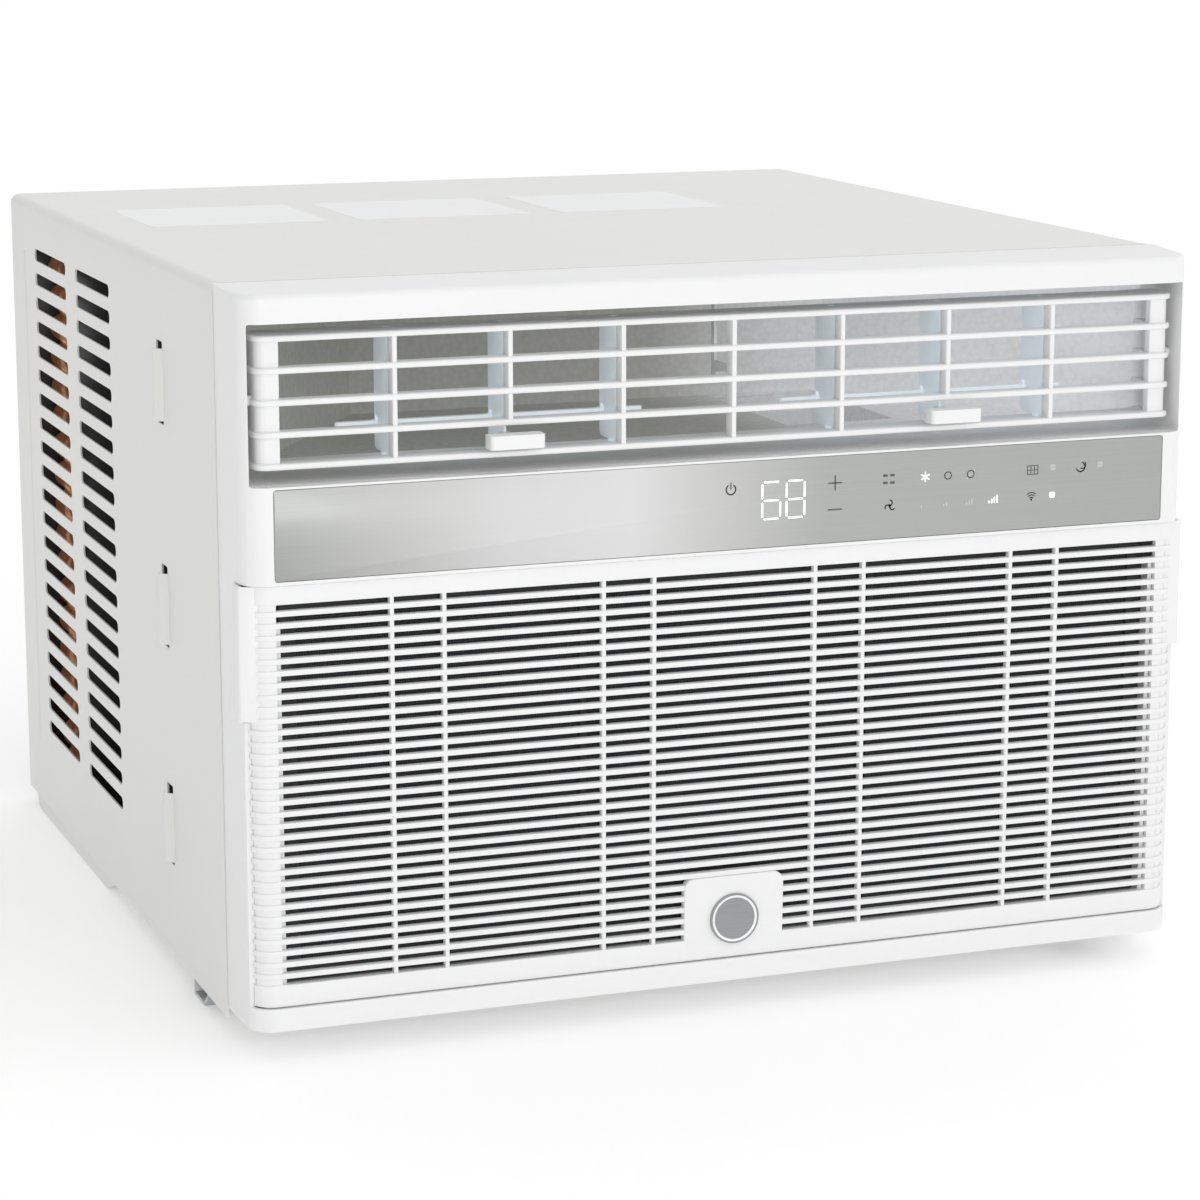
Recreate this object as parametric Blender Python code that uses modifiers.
"""A window air conditioner, modelled as the pieces it comes apart into.

Design coordinates are in millimetres: x across the room side, depth behind the
front face, height above the bezel's lower edge. place() turns them into Blender's
metres, with the origin at the middle of the footprint and +Z up, so the helpers
below take design coordinates everywhere. +X is the right hand side seen from the
room, and +Y points outdoors.
"""
import math

import bmesh
import bpy
from mathutils import Matrix, Vector

MM = 0.001

# Overall sizes
HALF_WIDTH = 300.0            # half the cabinet's width
SEAM = 54.0                   # depth where the bezel ends and the cabinet starts
CABINET_REAR = 630.5
CABINET_TOP = 427.5
CABINET_BOTTOM = -6.5
SHEET = 1.2                   # painted steel sheet
GAP = 0.3                     # left between two pieces that touch
FLOOR = -18.5                 # height of the surface that the unit stands on
FRONT_REACH = 7.0             # how far the deflector tabs stand out of the face
SCREW_HEAD = 1.7
REARMOST = CABINET_REAR + GAP + SCREW_HEAD
FRONT_Y = (FRONT_REACH - REARMOST) / 2

# Bezel
BEZEL_TOP = 427.3
BEZEL_HALF = 299.2            # half width at the seam
BEZEL_WALL = 2.6
CORNER_X = 282.7              # centre of the front corners' rounding
CORNER_DEPTH = 15.0
CORNER_RADIUS = 15.0
TOP_ROUND = 12.0
COLLAR_WALL = 2.5
OUTLET_HALF = 292.0
OUTLET_LOW = 319.5
OUTLET_HIGH = 408.0
STRIP_HALF = 280.6
STRIP_LOW = 264.1
STRIP_HIGH = 316.2

# Louver cassette and its vanes
TILT_DEPTH = 20.0
TILT_HEIGHT = 364.8
LOUVER_HALF = 289.0
LOUVER_FRONT = 5.7
BAR_DEPTH = 10.0
BAR_HEIGHT = 3.6
BAR_PITCH = 18.1
LOWEST_BAR = 328.2
BAR_COUNT = 5
RIB_PITCH = 69.0
RIB_WIDTH = 3.0
END_CAP = 15.0
PLATE_DEPTH = 33.0            # depth of the rear edge of the top and bottom plates
PLATE = 2.5
VANE_PIVOT_DEPTH = 24.0
VANE_REAR = 46.0
VANE_THICKNESS = 1.6
LINK_DEPTH = 44.0
LINK_HEIGHT = 344.5

# Intake door and filter
DOOR_FACE = 1.8
DOOR_BACK = 9.8
DOOR_TOP = 261.4
HINGE_DEPTH = 5.8
HINGE_HEIGHT = 18.2
DOOR_EDGE = 4.0               # radius of the lower edge, round the hinge
SLOT_COUNT = 33
SLOT_PITCH = 6.866
SLOT_HEIGHT = 3.7
LOWEST_SLOT = 28.9
SLOT_HALF_SPAN = 279.8
GRILLE_RIBS = (-82.8, 82.8)
GRILLE_DEPTH = 5.0
FILTER_HALF = 276.0
FILTER_LOW = 26.0
FILTER_HIGH = 252.0
FILTER_RIM = 8.0

# Cabinet side details
VENT_ROWS = 21
VENT_PITCH = 16.8
LOWEST_VENT = 56.5
VENT_HEIGHT = 8.5
VENT_COLUMNS = ((320.0, 420.0), (451.0, 552.0))
LANCE_HEIGHTS = (77.5, 215.0, 352.5)
LANCE_DEPTH = 178.0
LANCE_PROUD = 5.0

# Base pan. Its floor steps down behind the sill, so that rain water collects there
STEP_START = 350.0
STEP_END = 385.0
PAN_FRONT = 57.0
PAN_REAR = 612.0
PAN_HALF = 298.4
PAN_SHALLOW = -5.8
PAN_WALL_TOP = 12.0
DRAIN = (-150.0, 575.0)       # x and depth of the drain hole
GLAND = (250.0, 38.0)         # x and depth where the supply cord leaves the bezel

# Air movers
FAN_HEIGHT = 188.0
WHEEL_RADIUS = 105.0
SHAFT_RADIUS = 6.0
BORE_RADIUS = SHAFT_RADIUS + GAP
SLINGER_RADIUS = 187.0
SHROUD_RADIUS = 191.5

# Refrigerant circuit
COMPRESSOR = (185.0, 345.0)
COMPRESSOR_RADIUS = 66.0
FOOT_RADIUS = 76.0
ACCUMULATOR = (266.0, 392.0)
DRIER = (281.0, 470.0)
COIL_END = 262.0


def place(x, depth, height):
    """World position, in metres, of a point in design millimetres."""
    return Vector((x, FRONT_Y + depth, height - FLOOR)) * MM


# --- start from an empty scene, with one collection for the object ---
for old in list(bpy.data.objects):
    bpy.data.objects.remove(old)
assembly = bpy.data.collections.new("window_air_conditioner")
bpy.context.scene.collection.children.link(assembly)


# --- materials: colour, roughness, metallic ---
FINISHES = {
    "painted_steel": ((0.70, 0.70, 0.68), 0.45, 0.0),
    "galvanised": ((0.55, 0.56, 0.57), 0.4, 0.9),
    "white_plastic": ((0.88, 0.89, 0.90), 0.35, 0.0),
    "vane_plastic": ((0.80, 0.84, 0.88), 0.35, 0.0),
    "mirror_panel": ((0.62, 0.63, 0.63), 0.15, 0.8),
    "badge_metal": ((0.55, 0.57, 0.58), 0.3, 0.9),
    "filter_plastic": ((0.12, 0.13, 0.14), 0.6, 0.0),
    "duct_foam": ((0.35, 0.36, 0.33), 0.85, 0.0),
    "aluminium_fins": ((0.72, 0.73, 0.74), 0.35, 0.9),
    "copper": ((0.72, 0.38, 0.22), 0.3, 1.0),
    "black_enamel": ((0.03, 0.03, 0.035), 0.35, 0.0),
    "rubber": ((0.04, 0.04, 0.04), 0.8, 0.0),
    "circuit_board": ((0.05, 0.22, 0.10), 0.5, 0.0),
}


def material(name):
    """The Principled material of that finish, made the first time it is asked for."""
    found = bpy.data.materials.get(name)
    if found:
        return found
    colour, roughness, metallic = FINISHES[name]
    made = bpy.data.materials.new(name)
    made.use_nodes = True
    shader = made.node_tree.nodes["Principled BSDF"]
    shader.inputs["Base Color"].default_value = (*colour, 1)
    shader.inputs["Roughness"].default_value = roughness
    shader.inputs["Metallic"].default_value = metallic
    return made


def keep(piece, name, finish):
    """Names a finished piece, gives it its material and files it with the object."""
    piece.name = name
    piece.data.name = name
    piece.data.materials.clear()
    piece.data.materials.append(material(finish))
    for other in list(piece.users_collection):
        other.objects.unlink(piece)
    assembly.objects.link(piece)
    return piece


# --- outlines ---
def arc(centre, radius, start, end, steps):
    """Points along an arc, with its angles in degrees."""
    angles = [math.radians(start + (end - start) * i / steps) for i in range(steps + 1)]
    return [(centre[0] + radius * math.cos(a), centre[1] + radius * math.sin(a)) for a in angles]


def circle(centre, radius, steps=24):
    return arc(centre, radius, 0, 360, steps)[:-1]


def rounded_rectangle(low, high, radius, steps=2):
    corners = (
        ((high[0] - radius, high[1] - radius), 0),
        ((low[0] + radius, high[1] - radius), 90),
        ((low[0] + radius, low[1] + radius), 180),
        ((high[0] - radius, low[1] + radius), 270),
    )
    return [p for centre, start in corners for p in arc(centre, radius, start, start + 90, steps)]


def mirrored(outline):
    """The same outline on the other side of the middle plane."""
    return [(-x, other) for x, other in reversed(outline)]


# --- solids ---
def solid(mesh):
    """A scene object from a bmesh, which is freed."""
    data = bpy.data.meshes.new("solid")
    mesh.to_mesh(data)
    mesh.free()
    made = bpy.data.objects.new("solid", data)
    bpy.context.scene.collection.objects.link(made)
    return made


def blocks(*corner_pairs):
    """Boxes between pairs of opposite design corners, in one object."""
    mesh = bmesh.new()
    for pair in corner_pairs:
        low, high = [min(c) for c in zip(*pair)], [max(c) for c in zip(*pair)]
        a, b = place(*low), place(*high)
        fit = Matrix.Translation((a + b) / 2) @ Matrix.Diagonal((*(b - a), 1))
        bmesh.ops.create_cube(mesh, size=1, matrix=fit)
    return solid(mesh)


def rod(start, end, radius, sides=16):
    """A cylinder between two design points."""
    a, b = place(*start), place(*end)
    mesh = bmesh.new()
    turn = (b - a).to_track_quat("Z", "Y").to_matrix().to_4x4()
    bmesh.ops.create_cone(
        mesh, cap_ends=True, segments=sides, radius1=radius * MM, radius2=radius * MM,
        depth=(b - a).length, matrix=Matrix.Translation((a + b) / 2) @ turn,
    )
    return solid(mesh)


# Local X, Y and Z of a flat outline that is swept along each design axis
SWEEPS = {
    "x": (Vector((0, 1, 0)), Vector((0, 0, 1)), Vector((1, 0, 0))),
    "depth": (Vector((1, 0, 0)), Vector((0, 0, 1)), Vector((0, -1, 0))),
    "height": (Vector((1, 0, 0)), Vector((0, 1, 0)), Vector((0, 0, 1))),
}


def prism(outlines, axis, low, high):
    """Flat outlines swept along x, depth or height; the later outlines are holes.

    An outline's points give the two other design coordinates, in the order
    x, depth, height.
    """
    curve = bpy.data.curves.new("outline", "CURVE")
    curve.dimensions = "2D"
    curve.fill_mode = "BOTH"
    curve.extrude = (high - low) / 2 * MM
    for outline in outlines:
        spline = curve.splines.new("POLY")
        spline.points.add(len(outline) - 1)
        spline.use_cyclic_u = True
        for point, (u, v) in zip(spline.points, outline):
            point.co = (u * MM, v * MM, 0, 1)
    flat = bpy.data.objects.new("outline", curve)
    bpy.context.scene.collection.objects.link(flat)
    middle = (low + high) / 2
    origin = {"x": (middle, 0, 0), "depth": (0, middle, 0), "height": (0, 0, middle)}[axis]
    across, up, along = SWEEPS[axis]
    turn = Matrix((across, up, along)).transposed().to_4x4()
    flat.matrix_world = Matrix.Translation(place(*origin)) @ turn
    bpy.context.view_layer.update()
    evaluated = flat.evaluated_get(bpy.context.evaluated_depsgraph_get())
    data = bpy.data.meshes.new_from_object(evaluated)
    data.transform(flat.matrix_world)
    mesh = bmesh.new()
    mesh.from_mesh(data)
    bmesh.ops.remove_doubles(mesh, verts=mesh.verts, dist=1e-6)
    bmesh.ops.recalc_face_normals(mesh, faces=mesh.faces)
    bpy.data.objects.remove(flat)
    bpy.data.meshes.remove(data)
    return solid(mesh)


def turned(profile, foot, axis="height", steps=16):
    """A lathe shape. The profile gives (radius, distance above the foot), top to bottom."""
    data = bpy.data.meshes.new("profile")
    edges = [(i, i + 1) for i in range(len(profile) - 1)]
    data.from_pydata([(r * MM, 0, z * MM) for r, z in profile], edges, [])
    made = bpy.data.objects.new("profile", data)
    bpy.context.scene.collection.objects.link(made)
    screw = made.modifiers.new("Turn", "SCREW")
    screw.steps = screw.render_steps = steps
    screw.use_merge_vertices = True
    screw.merge_threshold = 1e-5
    if axis == "depth":
        made.rotation_euler = (math.radians(-90), 0, 0)
    made.location = place(*foot)
    return applied(made)


def applied(piece):
    """Applies a piece's modifiers and its own transform."""
    bpy.context.view_layer.update()
    evaluated = piece.evaluated_get(bpy.context.evaluated_depsgraph_get())
    data = bpy.data.meshes.new_from_object(evaluated)
    piece.modifiers.clear()
    piece.data = data
    data.transform(piece.matrix_world)
    piece.matrix_world = Matrix.Identity(4)
    return piece


def combine(piece, tool, operation):
    change = piece.modifiers.new("Combine", "BOOLEAN")
    change.operation = operation
    change.solver = "EXACT"
    change.object = tool
    applied(piece)
    bpy.data.objects.remove(tool)
    return piece


def cut(piece, *tools):
    for tool in tools:
        combine(piece, tool, "DIFFERENCE")
    return piece


def join(piece, *others):
    for other in others:
        combine(piece, other, "UNION")
    return piece


def common(piece, other):
    return combine(piece, other, "INTERSECT")


# --- pipes ---
def bent(corners, radius, steps=2):
    """A route through the corners with each inner corner rounded, as a tube bender does."""
    points = [Vector(c) for c in corners]
    route = [points[0]]
    for before, corner, after in zip(points, points[1:], points[2:]):
        back, ahead = (before - corner).normalized(), (after - corner).normalized()
        half = back.angle(ahead) / 2
        reach = min(radius / math.tan(half), 0.45 * (before - corner).length,
                    0.45 * (after - corner).length)
        centre = corner + (back + ahead).normalized() * (reach / math.cos(half))
        start, end = corner + back * reach - centre, corner + ahead * reach - centre
        route += [centre + start.slerp(end, i / steps) * start.length for i in range(steps + 1)]
    return route + [points[-1]]


def pipe(route, radius):
    """A round tube along a route in design coordinates."""
    curve = bpy.data.curves.new("pipe", "CURVE")
    curve.dimensions = "3D"
    curve.bevel_depth = radius * MM
    curve.bevel_resolution = 2
    curve.use_fill_caps = True
    spline = curve.splines.new("POLY")
    spline.points.add(len(route) - 1)
    for point, spot in zip(spline.points, route):
        point.co = (*place(*spot), 1)
    made = bpy.data.objects.new("pipe", curve)
    bpy.context.scene.collection.objects.link(made)
    return made


def serpentine(rows, low, pitch, passes, half_length, reach):
    """Route of a coil's tube: up the first row, over, and down the second.

    It starts and ends at +COIL_END. reach is how far a hairpin stands past half_length.
    """
    route = [Vector((COIL_END, rows[0], low))]
    heights = [low + pitch * i for i in range(passes)]
    stops = [(rows[0], h) for h in heights] + [(rows[1], h) for h in reversed(heights)]
    side = -1
    for (depth_a, height_a), (depth_b, height_b) in zip(stops, stops[1:]):
        start, end = Vector((0, depth_a, height_a)), Vector((0, depth_b, height_b))
        for i in range(4):
            angle = math.pi * i / 3
            spot = start.lerp(end, (1 - math.cos(angle)) / 2)
            spot.x = side * (half_length + reach * math.sin(angle))
            route.append(spot)
        side = -side
    route.append(Vector((COIL_END, rows[1], low)))
    return stops, route


# --- moving bodies: each has an empty on its joint's axis ---
def pivot(name, point, pieces, parent=None):
    holder = bpy.data.objects.new(name, None)
    assembly.objects.link(holder)
    holder.location = place(*point)
    bpy.context.view_layer.update()
    if parent:
        hold(holder, parent)
    for piece in pieces:
        hold(piece, holder)
    return holder


def hold(piece, parent):
    bpy.context.view_layer.update()
    piece.parent = parent
    piece.matrix_parent_inverse = parent.matrix_world.inverted()


# =====================================================================
# Casing
# =====================================================================
def lance(side, height):
    """Outline of a tab lanced out of the side sheet, hinged at its front edge."""
    skin = HALF_WIDTH - SHEET
    outer = HALF_WIDTH + LANCE_PROUD
    outline = [
        (skin + 0.1, LANCE_DEPTH - 5), (HALF_WIDTH - 0.1, LANCE_DEPTH - 5),
        (HALF_WIDTH - 0.1, LANCE_DEPTH - 1), (outer, LANCE_DEPTH + 5),
        (outer, LANCE_DEPTH + 13), (outer - SHEET, LANCE_DEPTH + 13),
        (outer - SHEET, LANCE_DEPTH + 5.5), (skin + 0.1, LANCE_DEPTH - 0.5),
    ]
    if side < 0:
        outline = mirrored(outline)
    return prism([outline], "height", height - 22, height + 22)


def lance_window(side, height):
    return blocks(((side * (HALF_WIDTH - 3), LANCE_DEPTH, height - 24.5),
                   (side * (HALF_WIDTH + 1), LANCE_DEPTH + 15, height + 24.5)))


def cabinet_wrap():
    """The U of painted sheet that covers both sides and the top."""
    round_out = 6.0
    centre = (HALF_WIDTH - round_out, CABINET_TOP - round_out)
    outer = [(HALF_WIDTH, CABINET_BOTTOM)] + arc(centre, round_out, 0, 90, 4)
    inner = [(HALF_WIDTH - SHEET, CABINET_BOTTOM - 5)] + arc(centre, round_out - SHEET, 0, 90, 4)
    sheet = prism([outer + mirrored(outer)], "depth", SEAM + 0.4, CABINET_REAR)
    # A narrow flange stays round the open rear
    flange = 12.0
    cut(sheet, prism([inner + mirrored(inner)], "depth", SEAM - 5, CABINET_REAR - SHEET))
    cut(sheet, blocks(((-HALF_WIDTH + flange, CABINET_REAR - 10, CABINET_BOTTOM - 10),
                       (HALF_WIDTH - flange, CABINET_REAR + 5, CABINET_TOP - flange))))
    for side in (-1, 1):
        inside, outside = side * (HALF_WIDTH - 4), side * (HALF_WIDTH + 2)
        for front, back in VENT_COLUMNS:
            vents = [((inside, front, middle - VENT_HEIGHT / 2),
                      (outside, back, middle + VENT_HEIGHT / 2)) for middle in vent_heights()]
            cut(sheet, blocks(*vents))
        for height in LANCE_HEIGHTS:
            cut(sheet, lance_window(side, height))
            join(sheet, lance(side, height))
    for x, height in guard_screw_spots():
        cut(sheet, rod((x, CABINET_REAR - 4, height), (x, CABINET_REAR + 2, height), 2.3, 8))
    return keep(sheet, "cabinet_wrap", "painted_steel")


def vent_heights():
    return [LOWEST_VENT + VENT_PITCH * i for i in range(VENT_ROWS)]


def guard_screw_spots():
    """Centres of the four screws that hold the rear guard to the cabinet's flange."""
    return [(x, height) for x in (-293.0, 293.0) for height in (30.0, 395.0)]


def pan_outline(inset):
    """Side outline of the pan, or of the space inside it at that distance."""
    bottom, shallow = FLOOR + inset, PAN_SHALLOW + inset
    rounding = 10.0 - inset
    rear = PAN_REAR - inset
    top = PAN_WALL_TOP + (5 if inset else 0)
    lower_corner = arc((rear - rounding, bottom + rounding), rounding, -90, 0, 4)
    return [(PAN_FRONT + inset, top), (PAN_FRONT + inset, shallow),
            (STEP_START, shallow), (STEP_END, bottom), *lower_corner, (rear, top)]


def base_pan():
    pan = prism([pan_outline(0)], "x", -PAN_HALF, PAN_HALF)
    inside = prism([pan_outline(SHEET)], "x", -PAN_HALF + SHEET, PAN_HALF - SHEET)
    cut(pan, inside)
    drain = rod((DRAIN[0], DRAIN[1], FLOOR - 2), (DRAIN[0], DRAIN[1], FLOOR + 5), 9.4)
    return keep(cut(pan, drain), "base_pan", "painted_steel")


def drain_plug():
    plug = turned([(0, 4.5), (12, 4.5), (12, 1.6), (9, 1.6), (9, 0.2), (0, 0.2)],
                  (DRAIN[0], DRAIN[1], FLOOR), steps=16)
    return keep(plug, "drain_plug", "rubber")


def sill_rail():
    """Trough under the pan that sets the unit behind the window sill."""
    top = PAN_SHALLOW - GAP
    wall = 2.0
    outline = [(102, top), (117, FLOOR), (142, FLOOR), (142, top),
               (142 - wall, top), (142 - wall, FLOOR + wall), (118.4, FLOOR + wall), (105.1, top)]
    return keep(prism([outline], "x", -298.4, 298.4), "sill_rail", "galvanised")


def rear_guard():
    """Plate with a grid of windows that keeps hands off the condenser."""
    columns, rows = 5, 8
    bar = 3.0
    left, right, low, high = -276.0, 276.0, 4.0, 406.0
    pitch_x = (right - left + bar) / columns
    pitch_h = (high - low + bar) / rows
    plate = blocks(((-298, 626.4, -6), (298, 627.6, 425)))
    windows = [((left + pitch_x * i, 624, low + pitch_h * j),
                (left + pitch_x * (i + 1) - bar, 630, low + pitch_h * (j + 1) - bar))
               for i in range(columns) for j in range(rows)]
    cut(plate, blocks(*windows))
    corner = 5.0
    for side in (-1, 1):
        edge = side * 298
        trim = [(edge + side, 426), (edge - side * corner, 426), (edge + side, 425 - corner)]
        cut(plate, prism([trim], "depth", 624, 630))
    for x, height in guard_screw_spots():
        cut(plate, rod((x, 620, height), (x, 630, height), 2.3, 8))
    return keep(plate, "rear_guard", "galvanised")


def guard_screws():
    for number, (x, height) in enumerate(guard_screw_spots(), 1):
        head = CABINET_REAR + GAP
        screw = turned([(0, SCREW_HEAD), (4.2, SCREW_HEAD), (4.2, 0), (1.9, 0), (1.9, -10),
                        (0, -11.5)], (x, head, height), "depth", 10)
        keep(screw, f"guard_screw_{number}", "galvanised")


# =====================================================================
# Front
# =====================================================================
def plan_outline(inset, rear):
    """Front of the casing seen from above, moved in by inset."""
    radius = CORNER_RADIUS - inset
    left = [(-BEZEL_HALF + inset, rear)]
    left += arc((-CORNER_X, CORNER_DEPTH), radius, 180, 270, 4)
    return left + [(-x, depth) for x, depth in reversed(left)]


def side_outline(inset, rear):
    """Bezel seen from the side, moved in by inset."""
    low, high = inset, BEZEL_TOP - inset
    rounding = arc((TOP_ROUND, BEZEL_TOP - TOP_ROUND - 1), TOP_ROUND - inset, 180, 90, 4)
    return [(rear, low), (2 + inset, low), (inset, 2 + low)] + rounding + [(rear, high)]


def bezel_shell(inset, rear):
    plan = prism([plan_outline(inset, rear)], "height", -5, BEZEL_TOP + 5)
    return common(plan, prism([side_outline(inset, rear)], "x", -320, 320))


def door_hinge_arm(side):
    """Ear and pin on the bezel that the intake door turns on."""
    low, high = sorted((side * 284, side * 286))
    lean = math.radians(-30.5)
    along = Vector((math.cos(lean), math.sin(lean)))
    across = Vector((-along.y, along.x)) * 1.8
    hub = Vector((HINGE_DEPTH, HINGE_HEIGHT))
    tip = hub + along * 10.5
    outline = [tuple(hub + across), *arc(tuple(hub), 1.8, 59.5, 239.5, 6)[1:-1],
               tuple(hub - across), tuple(tip - across), tuple(tip + across)]
    ear = prism([outline], "x", low, high)
    inner = (side * 285, HINGE_DEPTH, HINGE_HEIGHT)
    outer = (side * 289.6, HINGE_DEPTH, HINGE_HEIGHT)
    return join(ear, rod(inner, outer, 1.7, 12))


def front_bezel():
    bezel = cut(bezel_shell(0, SEAM), bezel_shell(BEZEL_WALL, SEAM + 1))
    collar_half = OUTLET_HALF + COLLAR_WALL
    collar = blocks(((-collar_half, 6.5, OUTLET_LOW - COLLAR_WALL),
                     (collar_half, SEAM - 2, OUTLET_HIGH + COLLAR_WALL)))
    backing = blocks(((-283, 1.5, 262.6), (283, 5.2, 318)))
    shelf = blocks(((-290, 2.2, 11), (290, 20, 13.5)))
    join(bezel, collar, backing, shelf)
    outlet = blocks(((-OUTLET_HALF, -5, OUTLET_LOW), (OUTLET_HALF, SEAM + 5, OUTLET_HIGH)))
    strip = blocks(((-STRIP_HALF - GAP, -5, STRIP_LOW - GAP),
                    (STRIP_HALF + GAP, 2, STRIP_HIGH + GAP)))
    doorway = blocks(((-320, -5, 13.5), (320, DOOR_BACK + 0.6, 262.5)))
    ear_notches = [blocks(((side * 303, -5, 182), (side * 285, 21.6, 262.5))) for side in (-1, 1)]
    cut(bezel, outlet, strip, doorway, *ear_notches)
    for side in (-1, 1):
        cut(bezel, rod((side * 285, TILT_DEPTH, TILT_HEIGHT),
                       (side * 310, TILT_DEPTH, TILT_HEIGHT), 3.3))
        # The side walls stay closed behind the pivot holes
        join(bezel, blocks(((side * 295.6, TILT_DEPTH - 6, TILT_HEIGHT - 6),
                            (side * 297.2, TILT_DEPTH + 6, TILT_HEIGHT + 6))))
        join(bezel, door_hinge_arm(side))
    cut(bezel, rod((GLAND[0], GLAND[1], -5), (GLAND[0], GLAND[1], 5), 8.4))
    return keep(bezel, "front_bezel", "white_plastic")


def cord_gland():
    """Bushing in the bezel's floor where the supply cord leaves."""
    profile = [(4.5, 6), (11, 6), (11, 2.9), (8, 2.9), (8, -0.3), (11, -0.3), (11, -3),
               (4.5, -3), (4.5, 6)]
    gland = turned(profile, (GLAND[0], GLAND[1], 0), steps=12)
    return keep(gland, "cord_gland", "rubber")


def control_fascia():
    outline = rounded_rectangle((-STRIP_HALF, STRIP_LOW), (STRIP_HALF, STRIP_HIGH), 1.5)
    return keep(prism([outline], "depth", 0.2, 1.7), "control_fascia", "mirror_panel")


def display_board():
    """Board behind the strip, with the digit display and the key sensors on it."""
    board = blocks(((-30, 10, 268), (250, 11.6, 312)))
    parts = [((10, 6.5, 276), (52, 10.5, 306)), ((58, 8, 278), (70, 10.5, 306)),
             ((-12, 8, 293), (8, 10.5, 306)), ((110, 8, 278), (240, 10.5, 306)),
             ((120, 11, 275), (150, 12.4, 295))]
    for low, high in parts:
        join(board, blocks((low, high)))
    return keep(board, "display_board", "circuit_board")


# =====================================================================
# Louver cassette
# =====================================================================
LOUVER_LOW = LOWEST_BAR - BAR_HEIGHT / 2
LOUVER_HIGH = LOWEST_BAR + BAR_PITCH * (BAR_COUNT - 1) + BAR_HEIGHT / 2
VANE_SPOTS = {"left": (-207.0, -138.0, -69.0), "right": (69.0, 138.0, 207.0)}


def louver_windows():
    """The openings between the bars and the ribs, row by row."""
    ribs = [RIB_PITCH * i for i in range(-3, 4)]
    windows = []
    for row in range(BAR_COUNT - 1):
        low = LOWEST_BAR + BAR_PITCH * row + BAR_HEIGHT / 2
        # The lowest row has no rib where a deflector tab passes through it
        here = [x for x in ribs if row or abs(x) != 2 * RIB_PITCH]
        edges = [-LOUVER_HALF + END_CAP, *here, LOUVER_HALF - END_CAP]
        for number, (left, right) in enumerate(zip(edges, edges[1:])):
            left += RIB_WIDTH / 2 if number else 0
            right -= RIB_WIDTH / 2 if number < len(here) else 0
            windows.append(((left, 0, low), (right, 20, low + BAR_PITCH - BAR_HEIGHT)))
    return windows


def louver_grid():
    rear = LOUVER_FRONT + BAR_DEPTH
    grid = blocks(((-LOUVER_HALF, LOUVER_FRONT, LOUVER_LOW), (LOUVER_HALF, rear, LOUVER_HIGH)))
    cut(grid, blocks(*louver_windows()))
    shell = blocks(((-LOUVER_HALF, rear - 0.5, LOUVER_LOW), (LOUVER_HALF, PLATE_DEPTH, LOUVER_HIGH)))
    cut(shell, blocks(((-LOUVER_HALF + PLATE, 0, LOUVER_LOW + PLATE),
                       (LOUVER_HALF - PLATE, 60, LOUVER_HIGH - PLATE))))
    join(grid, shell)
    for x in (*VANE_SPOTS["left"], *VANE_SPOTS["right"]):
        cut(grid, rod((x, VANE_PIVOT_DEPTH, LOUVER_LOW - 5), (x, VANE_PIVOT_DEPTH, LOUVER_HIGH + 5),
                      2.3, 8))
    for side in (-1, 1):
        join(grid, rod((side * (LOUVER_HALF - 1), TILT_DEPTH, TILT_HEIGHT),
                       (side * (LOUVER_HALF + 4.5), TILT_DEPTH, TILT_HEIGHT), 3))
    neck = blocks(((-1.4, rear - 1, TILT_HEIGHT - 1.6), (1.4, TILT_DEPTH, TILT_HEIGHT + 1.6)))
    axle = rod((-7, TILT_DEPTH, TILT_HEIGHT), (7, TILT_DEPTH, TILT_HEIGHT), 2.4, 12)
    return keep(join(grid, join(axle, neck)), "louver_grid", "white_plastic")


def louver_center_support():
    """Fixed hook that carries the middle of the long cassette."""
    notch = arc((TILT_DEPTH, TILT_HEIGHT), 2.8, 90, -90, 6)
    outline = [(19.8, TILT_HEIGHT + 5), *notch, (19.8, TILT_HEIGHT - 5), (52, TILT_HEIGHT - 5),
               (52, OUTLET_HIGH - GAP), (47.5, OUTLET_HIGH - GAP), (47.5, TILT_HEIGHT + 5)]
    return keep(prism([outline], "x", 3.4, 5.6), "louver_center_support", "white_plastic")


def vane(name, x):
    """Upright blade on two pins, notched at the back round the link rod's pin."""
    front, low, high = 17.5, LOUVER_LOW + PLATE + 0.5, LOUVER_HIGH - PLATE - 0.5
    slot_low, slot_high, slot_front = LINK_HEIGHT - 4, LINK_HEIGHT + 4, 38.5
    outline = [(front, low), (VANE_PIVOT_DEPTH + 8, low), (VANE_REAR, low + 3.5),
               (VANE_REAR, slot_low), (slot_front, slot_low), (slot_front, slot_high),
               (VANE_REAR, slot_high), (VANE_REAR, high - 3.5), (VANE_PIVOT_DEPTH + 8, high),
               (front, high)]
    half = VANE_THICKNESS / 2
    blade = prism([outline], "x", x - half, x + half)
    foot = rod((x, VANE_PIVOT_DEPTH, LOUVER_LOW + 0.2), (x, VANE_PIVOT_DEPTH, low + 2), 2, 8)
    head = rod((x, VANE_PIVOT_DEPTH, high - 2), (x, VANE_PIVOT_DEPTH, LOUVER_HIGH - 0.2), 2, 8)
    hook = rod((x, LINK_DEPTH, slot_low - 1), (x, LINK_DEPTH, slot_high + 1), 1.2, 6)
    return keep(join(blade, foot, head, hook), name, "vane_plastic")


def link_rod(name, spots):
    """Bar that ties three vanes together at their rear edges."""
    middle = spots[1]
    outline = rounded_rectangle((middle - 94, LINK_DEPTH - 3), (middle + 94, LINK_DEPTH + 3), 2.9)
    holes = [circle((x, LINK_DEPTH), 1.7, 10) for x in spots]
    bar = prism([outline, *holes], "height", LINK_HEIGHT - 1.5, LINK_HEIGHT + 1.5)
    return keep(bar, name, "vane_plastic")


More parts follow.
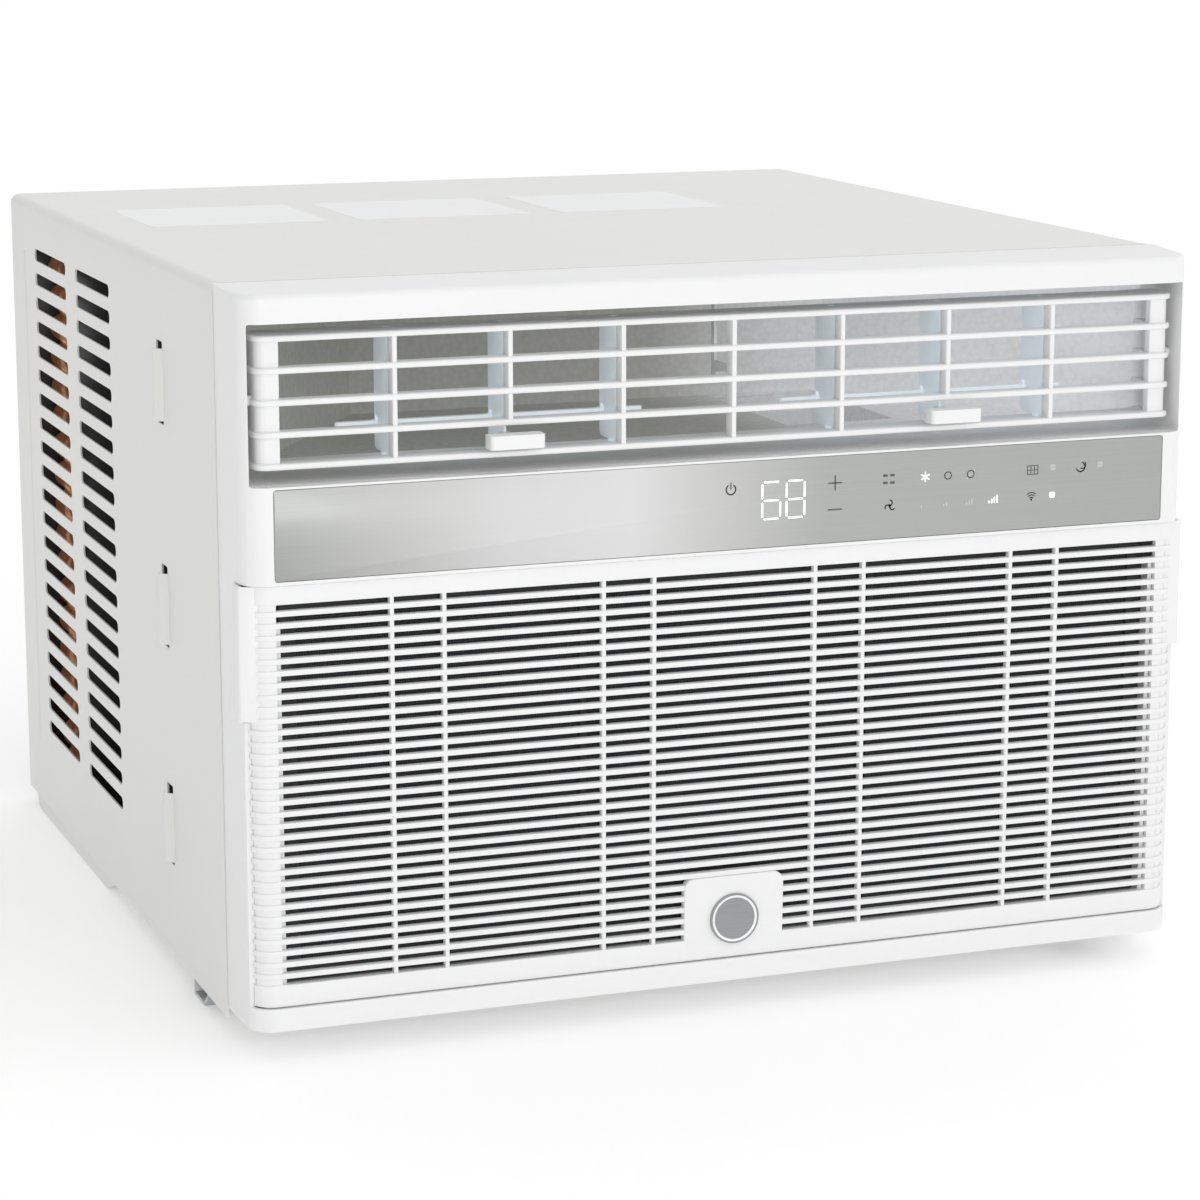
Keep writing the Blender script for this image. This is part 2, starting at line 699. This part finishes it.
def deflector_tab(name, x):
    """Finger tab, clipped over the front edge of the middle vane of a group."""
    top, low = 341.0, 332.5
    pad = prism([rounded_rectangle((x - 16.5, -FRONT_REACH), (x + 16.5, 4.5), 2)],
                "height", low, top)
    arm = blocks(((x - 3, 4, low + 2), (x + 3, 20, top - 2)))
    slot = blocks(((x - VANE_THICKNESS / 2 - GAP, 17.2, low - 5),
                   (x + VANE_THICKNESS / 2 + GAP, 30, top + 5)))
    return keep(join(pad, cut(arm, slot)), name, "white_plastic")


# =====================================================================
# Intake door and filter
# =====================================================================
def door_body():
    plan = [(-294.8, DOOR_BACK)]
    plan += arc((-CORNER_X, CORNER_DEPTH), CORNER_RADIUS - DOOR_FACE, 203.2, 270, 5)
    plan += [(-x, depth) for x, depth in reversed(plan)]
    edge = arc((HINGE_DEPTH, HINGE_HEIGHT), DOOR_EDGE, 180, 360, 8)
    side = [(DOOR_BACK, DOOR_TOP), (DOOR_FACE + 1, DOOR_TOP), (DOOR_FACE, DOOR_TOP - 1), *edge]
    body = prism([side], "x", -310, 310)
    return common(body, prism([plan], "height", 0, 300))


def finger_ear(side):
    """Grip at the side of the door, to pull it open."""
    outline = [(293, 4.5), (297.4, 6.5), (300.4, 10), (300.4, 21), (298.4, 21), (298.4, 12),
               (294, 9.6), (290, 9.6)]
    if side < 0:
        outline = mirrored(outline)
    return prism([outline], "height", 183, DOOR_TOP)


def filter_rail(side):
    outline = [(276.6, 6), (279.2, 6), (279.2, 20.5), (271.5, 20.5), (271.5, 18.6), (276.6, 18.6)]
    if side < 0:
        outline = mirrored(outline)
    return prism([outline], "height", 23.5, 236)


def intake_grille():
    door = door_body()
    pocket = blocks(((-282, DOOR_FACE + GRILLE_DEPTH, 24.5), (282, 30, 257)))
    cut(door, pocket)
    for side in (-1, 1):
        cut(door, blocks(((side * 283, 3.6, 10), (side * 286.8, 30, 257))))
        cut(door, rod((side * 285, HINGE_DEPTH, HINGE_HEIGHT),
                      (side * 290.2, HINGE_DEPTH, HINGE_HEIGHT), 2.1, 12))
        join(door, finger_ear(side), filter_rail(side))
    ledge = [(6, 22.8), (19, 22.8), (19, 25.3), (6, 25.3)]
    plate = rounded_rectangle((-32, 21), (32, 65), 6)
    join(door, prism([ledge], "x", -278, 278))
    edges = [-SLOT_HALF_SPAN, *GRILLE_RIBS, SLOT_HALF_SPAN]
    slots = []
    for row in range(SLOT_COUNT):
        low = LOWEST_SLOT + SLOT_PITCH * row - SLOT_HEIGHT / 2
        for left, right in zip(edges, edges[1:]):
            left += 1.5 if left in GRILLE_RIBS else 0
            right -= 1.5 if right in GRILLE_RIBS else 0
            # Rails and ledge behind the grille stay whole
            left, right = max(left, -276), min(right, 276)
            slots.append(((left, 0, low), (right, DOOR_FACE + GRILLE_DEPTH + 1, low + SLOT_HEIGHT)))
    cut(door, blocks(*slots))
    join(door, prism([plate], "depth", 0.8, 6))
    return keep(door, "intake_grille", "white_plastic")


def badge_disc():
    disc = rod((0, -0.4, 38.5), (0, 0.5, 38.5), 15.5, 32)
    return keep(disc, "badge_disc", "badge_metal")


def filter_frame():
    rim = FILTER_RIM
    frame = blocks(((-FILTER_HALF, 13, FILTER_LOW), (FILTER_HALF, 18, FILTER_HIGH)))
    edges = (-FILTER_HALF + rim, -92, 92, FILTER_HALF - rim)
    panes = [((left + 2, 10, FILTER_LOW + rim), (right - 2, 20, FILTER_HIGH - rim))
             for left, right in zip(edges, edges[1:])]
    cut(frame, blocks(*panes))
    # A groove round the inside edge holds the mesh
    groove = blocks(((-FILTER_HALF + rim - 3, 14.6, FILTER_LOW + rim - 3),
                     (FILTER_HALF - rim + 3, 16.2, FILTER_HIGH - rim + 3)))
    cut(frame, groove)
    grip = prism([rounded_rectangle((-22, FILTER_HIGH - 2), (22, FILTER_HIGH + 4), 2)],
                 "depth", 13.5, 17.5)
    return keep(join(frame, grip), "filter_frame", "filter_plastic")


def filter_mesh():
    rim = FILTER_RIM
    sheet = blocks(((-FILTER_HALF + rim - 2.6, 15, FILTER_LOW + rim - 2.6),
                    (FILTER_HALF - rim + 2.6, 15.8, FILTER_HIGH - rim + 2.6)))
    return keep(sheet, "filter_mesh", "filter_plastic")


# =====================================================================
# Air path
# =====================================================================
def scroll_outline(inset):
    """Volute round the blower wheel, with its outlet at the top right."""
    start_radius, end_radius, first_angle = 118.0 - inset, 157.5 - inset, 50
    steps = 20
    points = []
    for i in range(steps + 1):
        angle = math.radians(first_angle + (360 - first_angle) * i / steps)
        radius = start_radius + (end_radius - start_radius) * i / steps
        points.append((radius * math.cos(angle), FAN_HEIGHT + radius * math.sin(angle)))
    top = 314.0 + (5 if inset else 0)
    tongue = points[0][0] + (inset * 1.6 if inset else 0)
    return [(tongue, top), (tongue, points[0][1] + inset)] + points[1:] + [(end_radius, top)]


def scroll_housing():
    housing = prism([scroll_outline(0)], "depth", 112, 250)
    cut(housing, prism([scroll_outline(2.5)], "depth", 114.5, 247.5))
    cut(housing, rod((0, 105, FAN_HEIGHT), (0, 120, FAN_HEIGHT), 86, 32))
    cut(housing, rod((0, 240, FAN_HEIGHT), (0, 260, FAN_HEIGHT), 22, 20))
    return keep(housing, "scroll_housing", "duct_foam")


def discharge_duct():
    """Flared box that turns the scroll's air forward to the outlet."""
    outer = [(-296, 56), (296, 56), (166, 252), (-166, 252)]
    inner = [(-293.5, 50), (293.5, 50), (163, 249.5), (-163, 249.5)]
    duct = prism([outer], "height", 314.3, 413.5)
    cut(duct, prism([inner], "height", 316.8, 411))
    cut(duct, blocks(((80, 115, 300), (154, 247, 330))))
    return keep(duct, "discharge_duct", "duct_foam")


def bulkhead():
    """Sheet between the room side and the outdoor side."""
    plate = blocks(((-296.6, 255, -4.3), (296.6, 256.2, 423)))
    cut(plate, rod((0, 250, FAN_HEIGHT), (0, 260, FAN_HEIGHT), 30, 24))
    cut(plate, rod((266, 250, 110), (266, 260, 110), 8, 12))
    cut(plate, rod((292, 250, 40), (292, 260, 40), 4, 8))
    return keep(plate, "bulkhead", "galvanised")


def blower_wheel():
    """Squirrel cage on the room end of the shaft."""
    blades = 16
    plate = rod((0, 232, FAN_HEIGHT), (0, 236, FAN_HEIGHT), WHEEL_RADIUS, 24)
    hub = rod((0, 200, FAN_HEIGHT), (0, 233, FAN_HEIGHT), 14, 16)
    ring = rod((0, 128, FAN_HEIGHT), (0, 133, FAN_HEIGHT), WHEEL_RADIUS, 24)
    cut(ring, rod((0, 120, FAN_HEIGHT), (0, 140, FAN_HEIGHT), WHEEL_RADIUS - 15, 24))
    join(plate, hub)
    wheel = plate
    fins = bmesh.new()
    centre = place(0, 182.5, FAN_HEIGHT)
    for i in range(blades):
        spin = Matrix.Rotation(math.tau * i / blades, 4, "Y")
        lean = Matrix.Rotation(math.radians(35), 4, "Y")
        reach = Matrix.Translation((0, 0, (WHEEL_RADIUS - 8) * MM))
        size = Matrix.Diagonal((1.6 * MM, 101 * MM, 13 * MM, 1))
        fit = Matrix.Translation(centre) @ spin @ reach @ lean @ size
        bmesh.ops.create_cube(fins, size=1, matrix=fit)
    join(wheel, solid(fins), ring)
    cut(wheel, rod((0, 190, FAN_HEIGHT), (0, 240, FAN_HEIGHT), BORE_RADIUS, 16))
    return keep(wheel, "blower_wheel", "filter_plastic")


def fan_blade(turn):
    """One twisted blade from the hub out to the slinger ring."""
    stations = ((24, 40, 40), (75, 74, 33), (130, 96, 27), (183, 104, 22))
    mesh = bmesh.new()
    rings = []
    for radius, chord, pitch in stations:
        tilt = math.radians(pitch)
        ring = []
        for across, out in ((-0.5, 1), (0.5, 1), (0.5, -1), (-0.5, -1)):
            side = across * chord * math.cos(tilt) - out * math.sin(tilt)
            depth = across * chord * math.sin(tilt) + out * math.cos(tilt)
            sweep = side / radius if radius > 60 else 0
            x = radius * math.sin(sweep) if sweep else side
            z = radius * math.cos(sweep) if sweep else radius
            ring.append(mesh.verts.new(place(x, 457 + depth, z + FAN_HEIGHT)))
        rings.append(ring)
    for near, far in zip(rings, rings[1:]):
        for i in range(4):
            mesh.faces.new((near[i], near[(i + 1) % 4], far[(i + 1) % 4], far[i]))
    mesh.faces.new(rings[0])
    mesh.faces.new(reversed(rings[-1]))
    bmesh.ops.recalc_face_normals(mesh, faces=mesh.faces)
    centre = place(0, 457, FAN_HEIGHT)
    spin = Matrix.Translation(centre) @ Matrix.Rotation(turn, 4, "Y") @ Matrix.Translation(-centre)
    bmesh.ops.transform(mesh, matrix=spin, verts=mesh.verts)
    return solid(mesh)


def condenser_fan():
    """Outdoor fan, with a ring that slings pan water on to the coil."""
    hub = rod((0, 438, FAN_HEIGHT), (0, 476, FAN_HEIGHT), 30, 20)
    for i in range(5):
        join(hub, fan_blade(math.tau * i / 5))
    ring = rod((0, 462, FAN_HEIGHT), (0, 478, FAN_HEIGHT), SLINGER_RADIUS, 40)
    cut(ring, rod((0, 450, FAN_HEIGHT), (0, 490, FAN_HEIGHT), SLINGER_RADIUS - 5, 40))
    join(hub, ring)
    cut(hub, rod((0, 430, FAN_HEIGHT), (0, 482, FAN_HEIGHT), BORE_RADIUS, 16))
    return keep(hub, "condenser_fan", "filter_plastic")


def motor_shaft():
    shaft = rod((0, 196, FAN_HEIGHT), (0, 484, FAN_HEIGHT), SHAFT_RADIUS, 16)
    return keep(shaft, "motor_shaft", "galvanised")


def fan_motor():
    """Double-ended motor: a turned can with a bore through it."""
    profile = [(BORE_RADIUS, 98), (18, 98), (18, 90), (38, 88), (46, 80), (46, 16), (38, 8),
               (18, 6), (18, -1), (BORE_RADIUS, -1), (BORE_RADIUS, 98)]
    return keep(turned(profile, (0, 260, FAN_HEIGHT), "depth"), "fan_motor", "black_enamel")


def motor_bracket():
    seat = arc((0, FAN_HEIGHT), 46.4, 225, 315, 8)
    upper = seat[0][1]
    outline = [(-62, -2), (-44, upper), *seat, (44, upper), (62, -2)]
    web = prism([outline], "depth", 300, 303)
    cut(web, prism([[(-34, 12), (-24, 110), (24, 110), (34, 12)]], "depth", 290, 310))
    foot = blocks(((-62, 285, -4.2), (62, 320, -1.7)))
    return keep(join(web, foot), "motor_bracket", "galvanised")


def condenser_shroud():
    """Box in front of the condenser with a ring round the fan."""
    box = blocks(((-262, 500, -15), (262, 548, 408)))
    cut(box, blocks(((-260, 502, -13), (260, 560, 406))))
    ring = rod((0, 452, FAN_HEIGHT), (0, 501.5, FAN_HEIGHT), SHROUD_RADIUS + 2.5, 40)
    join(box, ring)
    cut(box, rod((0, 440, FAN_HEIGHT), (0, 510, FAN_HEIGHT), SHROUD_RADIUS, 40))
    return keep(box, "condenser_shroud", "filter_plastic")


# =====================================================================
# Refrigerant circuit
# =====================================================================
def fin_pack(name, low, high, stops, radius):
    """Block of fins with a clearance hole for each pass of the tube."""
    pack = blocks((low, high))
    holes = [circle(spot, radius + 0.4, 8) for spot in stops]
    for hole in holes:
        cut(pack, prism([hole], "x", low[0] - 10, high[0] + 10))
    return keep(pack, name, "aluminium_fins")


def evaporator():
    stops, route = serpentine((72, 90), 28, 30, 9, 252, 12)
    fin_pack("evaporator_fins", (-250, 62, 14), (250, 100, 300), stops, 4)
    keep(pipe(route, 4), "evaporator_tubes", "copper")


def evaporator_tray():
    """Foam tray that the evaporator stands in, which catches its drips."""
    tray = blocks(((-253, 59, -4.2), (253, 108, 12)))
    cut(tray, blocks(((-248, 61.5, 4), (248, 105.5, 20))))
    return keep(tray, "evaporator_tray", "duct_foam")


def condenser():
    stops, route = serpentine((562, 586), 10, 38, 10, 258, 15)
    fin_pack("condenser_fins", (-255, 550, -14), (255, 598, 405), stops, 4)
    keep(pipe(route, 4), "condenser_tubes", "copper")


def foot_spots():
    return [(COMPRESSOR[0] + FOOT_RADIUS * math.cos(math.radians(a)),
             COMPRESSOR[1] + FOOT_RADIUS * math.sin(math.radians(a))) for a in (30, 150, 270)]


def compressor():
    """Welded can on a three-armed foot."""
    x, depth = COMPRESSOR
    r = COMPRESSOR_RADIUS
    profile = [(0, 224), *[(r * math.cos(a), 190 + 34 * math.sin(a))
                           for a in (math.radians(t) for t in (70, 50, 30, 12))],
               (r, 186), (r, 128), (r + 1.5, 126), (r + 1.5, 118), (r, 116), (r, 22), (r - 8, 8),
               (r - 30, 0), (0, 0)]
    can = turned(profile, (x, depth, 13), steps=20)
    for spot_x, spot_depth in foot_spots():
        away = Vector((spot_x - x, spot_depth - depth)).normalized()
        side = Vector((-away.y, away.x)) * 12
        root = Vector((x, depth)) + away * 30
        tip = Vector((spot_x, spot_depth)) + away * 2
        outline = [tuple(p) for p in
                   (root - side * 2.4, tip - side, tip + side, root + side * 2.4)]
        join(can, prism([outline], "height", 12.3, 15.3))
    return keep(can, "compressor", "black_enamel")


def compressor_bracket():
    """Folded plate that carries the compressor over the step in the pan."""
    plate = blocks(((104, 258.5, 0), (270, 398, 2.5)))
    front = blocks(((104, 258.5, -4.2), (270, 260.5, 1)))
    back = blocks(((104, 396, -16.9), (270, 398, 1)))
    return keep(join(plate, front, back), "compressor_bracket", "galvanised")


def grommets():
    for number, (x, depth) in enumerate(foot_spots(), 1):
        profile = [(3, 9.2), (7, 9.2), (10, 6), (10, 0), (3, 0), (3, 9.2)]
        ring = turned(profile, (x, depth, 2.8), steps=12)
        keep(ring, f"compressor_grommet_{number}", "rubber")


def terminal_cover():
    """Cap over the compressor's terminals."""
    x, depth = COMPRESSOR
    low = (x - COMPRESSOR_RADIUS - 22, depth - 22, 80)
    high = (x - COMPRESSOR_RADIUS + 6, depth + 22, 128)
    cover = blocks((low, high))
    cut(cover, rod((x, depth, 60), (x, depth, 150), COMPRESSOR_RADIUS + 1.8, 32))
    return keep(cover, "compressor_terminal_cover", "black_enamel")


def accumulator():
    x, depth = ACCUMULATOR
    profile = [(0, 138), (9, 136), (18, 130), (22, 120), (22, 16), (18, 7), (9, 2), (0, 0)]
    return keep(turned(profile, (x, depth, 14), steps=16), "accumulator", "black_enamel")


def refrigerant_lines():
    x, depth = COMPRESSOR
    discharge = bent([(x, depth, 237.4), (x, depth, 300), (286, depth, 300), (286, 586, 300),
                      (286, 586, 10), (COIL_END + 0.3, 586, 10)], 16)
    keep(pipe(discharge, 4), "discharge_pipe", "copper")
    ax, ad = ACCUMULATOR
    suction = bent([(ax, ad, 152.4), (ax, ad, 178), (ax, 300, 178), (ax, 300, 110), (ax, 150, 110),
                    (280, 112, 60), (280, 112, 28), (280, 90, 28), (COIL_END + 0.3, 90, 28)], 12)
    keep(pipe(suction, 5), "suction_pipe", "copper")
    dx, dd = DRIER
    liquid = bent([(COIL_END + 0.3, 562, 10), (dx, 562, 10), (dx, 562, 190), (dx, dd, 190),
                   (dx, dd, 161.4)], 10)
    keep(pipe(liquid, 3), "liquid_line", "copper")
    capillary = bent([(dx, dd, 69.6), (dx, dd, 40), (292, 445, 40), (292, 72, 40),
                      (292, 72, 28), (COIL_END + 0.3, 72, 28)], 8)
    keep(pipe(capillary, 2), "capillary_tube", "copper")


def filter_drier():
    profile = [(0, 91), (4, 90), (11, 80), (11, 11), (4, 1), (0, 0)]
    return keep(turned(profile, (DRIER[0], DRIER[1], 70), steps=12), "filter_drier", "copper")


# =====================================================================
# Electrical box
# =====================================================================
def control_box():
    tray = blocks(((205, 116, 150), (290, 246, 300)))
    cut(tray, blocks(((206.2, 100, 151.2), (288.8, 244.8, 298.8))))
    return keep(tray, "control_box", "galvanised")


def control_box_cover():
    cover = blocks(((205, 113.5, 150), (290, 115.5, 300)))
    return keep(cover, "control_box_cover", "galvanised")


def main_board():
    board = blocks(((210, 124, 158), (211.6, 240, 292)))
    parts = [((211, 130, 165), (232, 160, 195)), ((211, 170, 170), (226, 200, 186)),
             ((211, 175, 220), (236, 205, 248)), ((211, 132, 240), (222, 160, 280))]
    for low, high in parts:
        join(board, blocks((low, high)))
    return keep(board, "main_board", "circuit_board")


def capacitor():
    can = rod((264, 200, 152), (264, 200, 245), 20, 20)
    join(can, blocks(((258, 192, 244), (261, 196, 252))), blocks(((267, 204, 244), (270, 208, 252))))
    return keep(can, "run_capacitor", "aluminium_fins")


# =====================================================================
# Build
# =====================================================================
cabinet_wrap()
base_pan()
drain_plug()
sill_rail()
rear_guard()
guard_screws()
front_bezel()
cord_gland()
control_fascia()
display_board()
louver_center_support()
scroll_housing()
discharge_duct()
bulkhead()
fan_motor()
motor_bracket()
condenser_shroud()
evaporator_tray()
evaporator()
condenser()
compressor()
compressor_bracket()
grommets()
terminal_cover()
accumulator()
refrigerant_lines()
filter_drier()
control_box()
control_box_cover()
main_board()
capacitor()

tilt = pivot("louver_tilt_axis", (0, TILT_DEPTH, TILT_HEIGHT), [louver_grid()])
for hand, spots in VANE_SPOTS.items():
    middle = spots[1]
    tab = deflector_tab(f"deflector_tab_{hand}", middle)
    for number, x in enumerate(spots, 1):
        held = [vane(f"vane_{hand}_{number}", x)]
        if x == middle:
            held.append(tab)
        axis = pivot(f"vane_{hand}_{number}_axis", (x, VANE_PIVOT_DEPTH, TILT_HEIGHT), held, tilt)
        if x == middle:
            pivot(f"link_{hand}_axis", (x, LINK_DEPTH, LINK_HEIGHT),
                  [link_rod(f"link_rod_{hand}", spots)], axis)
door_axis = pivot("door_axis", (0, HINGE_DEPTH, HINGE_HEIGHT), [intake_grille(), badge_disc()])
pivot("filter_slide", (0, 15.5, FILTER_LOW), [filter_frame(), filter_mesh()], door_axis)
pivot("fan_axis", (0, 260, FAN_HEIGHT), [motor_shaft(), blower_wheel(), condenser_fan()])
